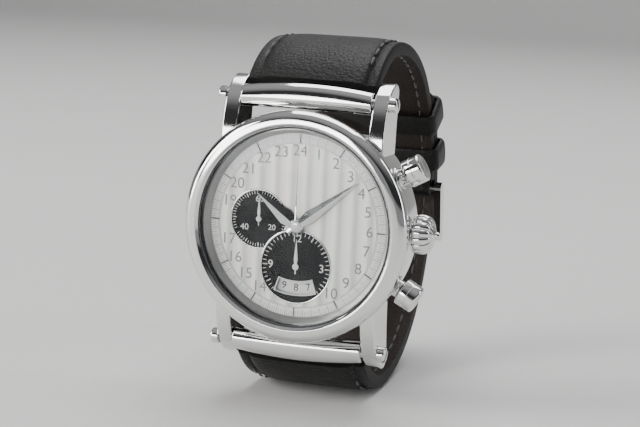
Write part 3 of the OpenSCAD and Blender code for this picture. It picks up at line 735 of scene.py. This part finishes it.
def make_subdials():
    small = [("60", -7.2, 4.15, 1.15, 0), ("40", -9.9, -1.05, 1.15, 0), ("20", -4.75, -0.75, 1.05, 0)]
    lettering("seconds_numbers", small, SUBDIAL_Z + 0.01, WHITE, "case")
    hours = [("12", 0.0, -2.3, 1.35, 0), ("9", -4.75, -7.3, 1.5, 0), ("3", 4.75, -7.3, 1.5, 0)]
    lettering("counter_numbers", hours, SUBDIAL_Z + 0.01, WHITE, "case")
    bm = bmesh.new()
    in_counter = lambda i: math.dist(on_circle(SECONDS, 4.7, i / 60), COUNTER) < COUNTER_R + 0.3
    ticks(bm, SECONDS, 4.45, 4.95, 0.09, SUBDIAL_Z, 60, lambda i: i % 5 == 0 or in_counter(i))
    ticks(bm, SECONDS, 4.25, 4.95, 0.16, SUBDIAL_Z, 12, lambda i: i % 4 == 0 or in_counter(5 * i))
    ticks(bm, COUNTER, 5.6, 6.2, 0.1, SUBDIAL_Z, 48, lambda i: 18 < i < 30)
    ticks(bm, COUNTER, 5.35, 6.2, 0.2, SUBDIAL_Z, 12, lambda i: i in (5, 6, 7))
    piece("subdial_ticks", bm, WHITE, "case")


def on_circle(centre, r, share):
    """A point at this share of a turn clockwise from 12."""
    return centre[0] + r * math.sin(TAU * share), centre[1] + r * math.cos(TAU * share)


def make_date():
    days = []
    for day in range(1, 32):
        turn = 180 + 360 / 31 * (day - 8)
        x, y = on_circle((0, 0), 11.15, turn / 360)
        days.append((str(day), x, y, 1.35, turn - 180))
    lettering("date_numbers", days, DATE_Z + 0.01, BLACK, "date_ring")
    bm = bmesh.new()
    inside = arc(0, 0, 10.0, -107.5, -72.5, 24) + arc(0, 0, 12.3, -72.5, -107.5, 24)
    outside = arc(0, 0, 9.82, -108.6, -71.4, 24) + arc(0, 0, 12.48, -71.4, -108.6, 24)
    rings = []
    for outline, z in ((inside, SUBDIAL_Z - 0.25), (inside, SUBDIAL_Z + 0.03), (outside, SUBDIAL_Z + 0.05),
                       (outside, SUBDIAL_Z)):
        rings.append([bm.verts.new((x, y, z)) for x, y in outline])
    skin(bm, rings)
    piece("date_frame", bm, WHITE, "case")


def make_hand(name, node, body, turn, centre, z, length, half_w, waist, tail, hub, mat, ridge=0.16):
    """A faceted hand: two polished slopes meet along a ridge, over a round hub."""
    bm = bmesh.new()
    left = [(-half_w * 0.3, -tail), (-half_w * 0.36, -hub * 0.6), (-half_w, waist), (-half_w * 0.1, length)]
    ridge_line = [(0, -tail), (0, -hub * 0.6), (0, waist), (0, length)]
    low, mid, right = [], [], []
    for (x, y), (cx, cy) in zip(left, ridge_line):
        low.append(bm.verts.new((x, y, z)))
        mid.append(bm.verts.new((cx, cy, z + ridge)))
        right.append(bm.verts.new((-x, y, z)))
    for k in range(3):
        bm.faces.new([low[k], mid[k], mid[k + 1], low[k + 1]])
        bm.faces.new([mid[k], right[k], right[k + 1], mid[k + 1]])
        bm.faces.new([low[k], low[k + 1], right[k + 1], right[k]])
    bm.faces.new([low[0], right[0], mid[0]])
    bm.faces.new([low[3], mid[3], right[3]])
    lathe(bm, [(0, z - 0.02), (hub, z - 0.02), (hub, z + ridge * 0.7), (hub * 0.9, z + ridge + 0.04),
               (hub * 0.35, z + ridge + 0.07), (0, z + ridge + 0.07)], 64)
    place = HEAD @ Matrix.Translation((*centre, 0)) @ Matrix.Rotation(-math.radians(turn), 4, "Z")
    return piece(name, bm, mat, body, [node], place, 12)


def make_hands():
    silver = polished_steel("hand_silver", (0.80, 0.80, 0.79))
    make_hand("hour_hand_faceted", "hour_hand", "hour_hand", -54, (0, 0), 9.95, 9.2, 1.5, 2.6, 1.6, 1.25,
              silver, 0.34)
    make_hand("minute_hand_faceted", "minute_hand", "minute_hand", 52, (0, 0), 10.28, 13.8, 1.15, 3.0, 1.9,
              1.0, silver, 0.24)
    make_hand("chrono_hand_fine", "chrono_seconds_hand", "chronograph", 0, (0, 0), 10.56, 14.2, 0.14, 1.0,
              4.0, 0.62, silver, 0.08)
    make_hand("small_seconds_fine", "small_seconds_hand", "fourth_wheel", 0, SECONDS, 9.6, 4.1, 0.3, 1.2, 1.2,
              0.5, WHITE, 0.06)
    make_hand("counter_hand_fine", "counter_hand", "counter_hand", 0, COUNTER, 9.6, 4.9, 0.36, 1.4, 1.3, 0.58,
              WHITE, 0.06)


# ---------------------------------------------------------------- movement


def finish_movement():
    """Materials of the CAD nodes that are shown as they are."""
    arbors = {
        "barrel_drum": (3.74, 4.46), "centre_wheel": (0, 0), "third_wheel": (-3.79, 1.48),
        "fourth_wheel": SECONDS, "balance_wheel": (-4.24, -7.3), "minute_wheel": (2.6, 0.95),
        "hour_wheel": (0, 0), "chrono_runner": (0, 0),
    }
    for node, centre in arbors.items():
        wear_on(node, turned(node + "_gilt", BRASS, centre))
    steels = {
        "ratchet_wheel": (3.74, 4.46), "crown_wheel": (7.2, 0), "escape_wheel": (-7.84, -3.01),
        "winding_pinion": (0, 0), "cannon_pinion": (0, 0), "pallet_fork": (-6.1, -5.08),
    }
    for node, centre in steels.items():
        wear_on(node, turned(node + "_steel", GREY_STEEL, centre, 0.2, 0.2))
    wear_on("rotor", turned("rotor_turned", (0.74, 0.72, 0.68), (0, 0), 0.5, 0.22))
    for node in ("barrel_bridge", "train_bridge", "balance_cock", "automatic_bridge"):
        wear_on(node, PLATE)
    wear_on("main_plate", pearled_plate())
    wear_on("jewels", ruby())
    for node in ("movement_screws", "hairspring"):
        wear_on(node, BLUE)
    for node in ("movement_ring", "rehaut_ring", "crown_tube", "winding_stem", "pusher_tubes", "lug_bars",
                 "mainspring", "caseback_ring"):
        wear_on(node, BRUSHED)
    for node in ("caseback_screws", "buckle_bar"):
        wear_on(node, STEEL)
    wear_on("crystal_gasket", rubber())
    clear = sapphire()
    for node in ("crystal", "caseback_crystal"):
        wear_on(node, clear)
    wear_on("dial_plate", dial_silver())
    wear_on("subdial_seconds", dial_black("subdial_black_seconds", SECONDS))
    wear_on("subdial_counter", dial_black("subdial_black_counter", COUNTER))
    wear_on("date_ring", lacquer("date_white", (0.88, 0.88, 0.86), 0.5))


def wear_on(node, mat):
    for slot in NODES[node].material_slots:
        slot.material = mat


# ---------------------------------------------------------------- strap


def smooth(t):
    t = max(0.0, min(1.0, t))
    return t * t * (3 - 2 * t)


def route(s):
    """The strap's middle line, as world (y, z) in mm, from the case to the clasp."""
    if s < 0.25:
        a = math.radians(141.5 - 51.5 * s / 0.25)
        return Vector((10 + 19 * math.cos(a), 12 + 19 * math.sin(a)))
    a = math.radians(90 * (1 - (s - 0.25) / 0.75))
    return Vector((10 + 36 * math.cos(a), 31 * math.sin(a)))


def route_out(s):
    d = route(s + 0.002) - route(s - 0.002)
    d.normalize()
    return Vector((-d.y, d.x))


def flip(p):
    return Vector((p.x, -p.y))


def strap_width(s):
    return 24 - 4 * smooth(s / 0.95)


def strap_thickness(s):
    return 3.4 - 1.2 * smooth(s / 0.6)


def upper_at(s):
    return route(s), route_out(s)


def lower_at(u):
    """The long half climbs over the buckle's fold and runs on under the keepers."""
    near = min(u, 0.998) if u <= 1 else max(u, 1.002)
    point = flip(route(u)) if u <= 1 else route(2 - u)
    out = flip(route_out(near)) if u <= 1 else route_out(2 - near)
    return point + 2.5 * smooth((u - 0.84) / 0.13) * out, out


def along_strap(at, s, x, h):
    """The place, in mm, of a point x across and h outward from the middle line at s."""
    point, out = at(s)
    p = point + h * out
    return Vector((x, p.x, p.y))


def sweep_strap(at, s0, s1, stations, width_of, thick_of):
    """A padded band: crowned outside, stitch grooves near its edges, lining inside."""
    bm = bmesh.new()
    shares = [-1.0, -0.995, -0.98, -0.955, -0.93, -0.90, -0.87, -0.845, -0.825, -0.805, -0.785, -0.765,
              -0.74, -0.68, -0.55, -0.38, -0.19]
    shares += [0.0] + [-v for v in reversed(shares)]
    rings = []
    for i in range(stations + 1):
        s = s0 + (s1 - s0) * i / stations
        half, thick = width_of(s) / 2, thick_of(s)
        ring = []
        for share in shares:
            x = share * half
            inset = half - abs(x)
            round_edge = 0.55 * (1 - math.sqrt(max(0.0, 1 - max(0.0, 1 - inset / 0.6) ** 2)))
            pad = min(1.0, max(0.0, (inset - 2.2) / 4.0))
            crown = (thick - 2.0) * 0.55 * (1 - math.sqrt(max(0.0, pad * (2 - pad))))
            groove = 0.22 * math.exp(-(((inset - 2.1) / 0.35) ** 2))
            h = thick / 2 - round_edge - max(0.0, crown) - groove
            ring.append(bm.verts.new(along_strap(at, s, x, h)))
        for share in reversed(shares[1:-1:2]):
            x = share * (half - 0.12)
            inset = half - abs(x)
            groove = 0.1 * math.exp(-(((inset - 2.1) / 0.3) ** 2))
            ring.append(bm.verts.new(along_strap(at, s, x, -thick / 2 + groove)))
        rings.append(ring)
    top = len(shares)
    for a, b in zip(rings, rings[1:]):
        count = len(a)
        for k in range(count):
            face = bm.faces.new((a[k], a[(k + 1) % count], b[(k + 1) % count], b[k]))
            edge_band = k < 2 or top - 3 <= k <= top - 1 or k == count - 1
            face.material_index = 2 if edge_band else (0 if k < top else 1)
    for ring in (rings[0], rings[-1]):
        cap = bm.faces.new(ring)
        cap.material_index = 2
    return bm


def stitches(name, at, s0, s1, width_of, thick_of, body, pitch=3.0, inside=True):
    """Rows of small capsule-shaped stitches lying in the grooves."""
    bm = bmesh.new()
    lengths = [0.0]
    steps = 400
    for i in range(steps):
        a, b = (along_strap(at, s0 + (s1 - s0) * (i + k) / steps, 0, 0) for k in (0, 1))
        lengths.append(lengths[-1] + (b - a).length)
    count = int(lengths[-1] / pitch)

    def at_length(length):
        for i in range(steps):
            if lengths[i + 1] >= length:
                share = (length - lengths[i]) / max(1e-9, lengths[i + 1] - lengths[i])
                return s0 + (s1 - s0) * (i + share) / steps
        return s1

    for side in (-1, 1):
        for n in range(count):
            middle = (n + 0.5) * lengths[-1] / count
            for level in ((1, -1) if inside else (1,)):
                rings = []
                for k in range(9):
                    t = -1 + 2 * k / 8
                    s = at_length(middle + t * pitch * 0.36)
                    half, thick = width_of(s) / 2, thick_of(s)
                    x = side * (half - 2.1)
                    bulge = math.sqrt(max(0.0, 1 - t * t * 0.98))
                    dip = 0.30 if level > 0 else 0.08
                    centre_h = level * (thick / 2 - dip + 0.1 * bulge - 0.06)
                    if level > 0:
                        centre_h -= 0.02
                    ring = []
                    for q in range(8):
                        a = TAU * q / 8
                        r = 0.04 + 0.2 * bulge
                        ring.append(bm.verts.new(along_strap(at, s, x + r * math.cos(a),
                                                             centre_h + 0.8 * r * math.sin(a))))
                    rings.append(ring)
                skin(bm, rings)
                bm.faces.new(rings[0])
                bm.faces.new(rings[-1])
    return piece(name, bm, THREAD, body, (), PLAIN, 60)


def keeper_loop(name, s, clearance, node, body):
    """A leather loop round the strap: a rounded rectangle swept along 5 mm of it."""
    wall, half = 0.9, 10.5
    low, high = -(1.1 + clearance), 2.5 + 1.1 + clearance
    bm = bmesh.new()
    rings = []
    run = 5.0 / STRAP_RUN
    section_steps = 9
    for i in range(section_steps + 1):
        t = -1 + 2 * i / section_steps
        at_s = s + t * run / 2
        swell = 0.16 * (1 - t * t) - 0.16
        edge = 0.2 if i in (0, section_steps) else 0.0
        rings.append([bm.verts.new(along_strap(upper_at, at_s, x, h)) for x, h in
                      loop_outline(half + wall + swell - edge, low - wall - swell + edge,
                                   high + wall + swell - edge, 1.2)])
    inner = [[bm.verts.new(along_strap(upper_at, s + t * run / 2, x, h)) for x, h in
              loop_outline(half, low, high, 0.5)] for t in (1, 0.5, 0, -0.5, -1)]
    skin(bm, rings + inner + [rings[0]], False)
    return piece(name, bm, LEATHER, body, [node], PLAIN, 50)


def loop_outline(half, low, high, corner):
    points = []
    for cx, cy, a0 in ((half - corner, high - corner, 0), (-half + corner, high - corner, 90),
                       (-half + corner, low + corner, 180), (half - corner, low + corner, 270)):
        points += arc(cx, cy, corner, a0, a0 + 90, 6)
    return points


def cut_opening(obj, at, s, x, half_s, half_x):
    """Cuts a hole or a slot through the strap at s, x mm across."""
    steps = 24
    rings = []
    bm = bmesh.new()
    for h in (-6, 6):
        ring = []
        for k in range(steps):
            a = TAU * k / steps
            c, d = math.cos(a), math.sin(a)
            ring.append(bm.verts.new(along_strap(at, s + half_s * d, x + half_x * c, h)))
        rings.append(ring)
    skin(bm, rings)
    bm.faces.new(rings[0])
    bm.faces.new(rings[1])
    cut_away(obj, bm, PLAIN)


def make_strap():
    mats = [LEATHER, LINING, EDGE]
    upper = sweep_strap(upper_at, 0.012, 0.962, 150, strap_width, strap_thickness)
    piece("strap_12", upper, mats, "case", ["strap_upper"], PLAIN, 50)

    def tail_width(u):
        tail = max(0.0, (u - 1.27) / 0.07)
        return strap_width(min(u, 2 - u)) * math.sqrt(max(0.02, 1 - tail ** 2.4))

    def tail_thickness(u):
        return strap_thickness(min(u, 2 - u))

    lower = sweep_strap(lower_at, 0.012, 1.338, 210, tail_width, tail_thickness)
    band = piece("strap_6", lower, mats, "case", ["strap_lower"], PLAIN, 50)
    for u in (0.80, 0.87, 1.07, 1.14):
        cut_opening(band, lower_at, u, 0, 0.013, 0.75)
    cut_opening(band, lower_at, 0.99, 0, 0.05, 1.25)
    stitches("stitches_12", upper_at, 0.07, 0.93, strap_width, strap_thickness, "case")
    stitches("stitches_6", lower_at, 0.07, 1.25, tail_width, tail_thickness, "case")
    keeper_loop("keeper_fixed", 0.89, 0.3, "fixed_keeper", "case")
    keeper_loop("keeper_floating", 0.76, 0.55, "floating_keeper", "floating_keeper")


def make_bar_fold():
    """The short half's end is turned round the buckle's bar on either side of the tongue."""
    bar = Vector((46.0, 0.7))
    start, out = upper_at(0.958)
    bm = bmesh.new()
    for x0, x1 in ((-9.3, -1.5), (1.5, 9.3)):
        rings = []
        for i in range(17):
            x = x0 + (x1 - x0) * i / 16
            inset = min(i, 16 - i)
            shrink = (0.22, 0.08, 0.0)[min(inset, 2)]
            outer, inner = 1.55 - shrink, 0.8
            from_top = start + out * (1.05 - shrink)
            from_low = start - out * (1.05 - shrink)
            lead = math.degrees(math.atan2(out.y, out.x))
            ring = [from_top] + [bar + outer * Vector((math.cos(math.radians(a)), math.sin(math.radians(a))))
                                 for a in [lead - 180 * k / 16 for k in range(17)]] + [from_low]
            ring += [start - out * 0.5]
            ring += [bar + inner * Vector((math.cos(math.radians(a)), math.sin(math.radians(a))))
                     for a in [lead - 180 + 180 * k / 12 for k in range(13)]]
            ring += [start + out * 0.5]
            rings.append([bm.verts.new((x, p.x, p.y)) for p in ring])
        skin(bm, rings)
        bm.faces.new(rings[0])
        bm.faces.new(rings[-1])
    piece("bar_fold", bm, LEATHER, "case", (), PLAIN, 50)


# ---------------------------------------------------------------- stage


def make_stage():
    low = CAD_BOX[0][2]
    bm = bmesh.new()
    depth, rise, width = 1.2, 0.9, 4.0
    outline = [(-4.0, 0.0), (depth, 0.0)]
    outline += [(depth + 0.5 * math.sin(math.radians(a)), 0.5 - 0.5 * math.cos(math.radians(a)))
                for a in range(6, 91, 6)] + [(depth + 0.5, rise + 0.8)]
    rows = [[bm.verts.new((x, y, low + z)) for y, z in outline] for x in (-width, width)]
    for k in range(len(outline) - 1):
        bm.faces.new((rows[0][k], rows[1][k], rows[1][k + 1], rows[0][k + 1]))
    mesh = bpy.data.meshes.new("floor")
    bm.to_mesh(mesh)
    bm.free()
    mesh.materials.append(floor_paper())
    mesh.shade_smooth()
    floor = bpy.data.objects.new("floor", mesh)
    bpy.context.scene.collection.objects.link(floor)


def area_light(name, place, target, size, power, color=(1, 1, 1), shape="RECTANGLE", size_y=None):
    light = bpy.data.lights.new(name, "AREA")
    light.shape = shape
    light.size = size
    light.size_y = size_y or size
    light.energy = power
    light.color = color
    lamp = bpy.data.objects.new(name, light)
    lamp.location = place
    lamp.rotation_euler = (Vector(target) - Vector(place)).to_track_quat("-Z", "Y").to_euler()
    bpy.context.scene.collection.objects.link(lamp)


def make_lights():
    area_light("key_left", (-0.80, -0.45, 0.22), (0, 0, 0), 0.45, 13, (1, 0.98, 0.95), size_y=0.8)
    area_light("rim_right", (0.85, 0.25, 0.35), (0, 0, 0), 0.12, 2.0, (0.93, 0.96, 1), size_y=0.8)
    area_light("top_soft", (0.0, 0.35, 0.95), (0, 0, 0), 0.8, 9)
    area_light("dial_glow", (-0.40, -1.0, -0.02), (0, 0, 0), 0.55, 6.0, size_y=0.45)
    world = bpy.data.worlds.new("studio")
    bpy.context.scene.world = world
    world.use_nodes = True
    nodes, links = world.node_tree.nodes, world.node_tree.links
    back = nodes["Background"]
    coords = nodes.new("ShaderNodeTexCoord")
    split = nodes.new("ShaderNodeSeparateXYZ")
    ramp = nodes.new("ShaderNodeValToRGB")
    links.new(coords.outputs["Generated"], split.inputs[0])
    links.new(split.outputs["Z"], ramp.inputs["Fac"])
    # A pale skyline, a dark band above it for the steel to mirror, and a bright ceiling.
    stops = [(0.0, 0.70), (0.13, 0.66), (0.20, 0.07), (0.42, 0.10), (0.85, 0.97)]
    for index, (place, grey) in enumerate(stops):
        stop = ramp.color_ramp.elements[0] if index == 0 else ramp.color_ramp.elements.new(place)
        stop.position = place
        stop.color = (grey, grey, grey * 1.03, 1)
    ramp.color_ramp.elements.remove(ramp.color_ramp.elements[-1])
    links.new(ramp.outputs["Color"], back.inputs["Color"])
    back.inputs["Strength"].default_value = 0.38


def make_camera():
    """Level with the dial, a little above it and towards the crown, rolled slightly."""
    azimuth, elevation, roll = (math.radians(v) for v in (18, 9, 2.5))
    distance = 0.32
    target = Vector((0.001, 0.0, 0.001))
    away = Vector((math.sin(azimuth) * math.cos(elevation), -math.cos(azimuth) * math.cos(elevation),
                   math.sin(elevation)))
    data = bpy.data.cameras.new("camera")
    data.lens = 100
    data.clip_start = 0.01
    camera = bpy.data.objects.new("camera", data)
    camera.location = target + away * distance
    camera.rotation_euler = ((-away).to_track_quat("-Z", "Y").to_matrix().to_4x4()
                             @ Matrix.Rotation(roll, 4, "Z")).to_euler()
    bpy.context.scene.collection.objects.link(camera)
    bpy.context.scene.camera = camera


make_bezel()
make_case()
make_end_links()
make_lug_screws()
make_crown()
make_pushers()
make_springs()
make_dial()
make_subdials()
make_date()
make_hands()
finish_movement()
make_strap()
make_bar_fold()
for part in ("buckle_frame", "buckle_tongue"):
    wear_on(part, STEEL)
make_stage()
make_lights()
make_camera()
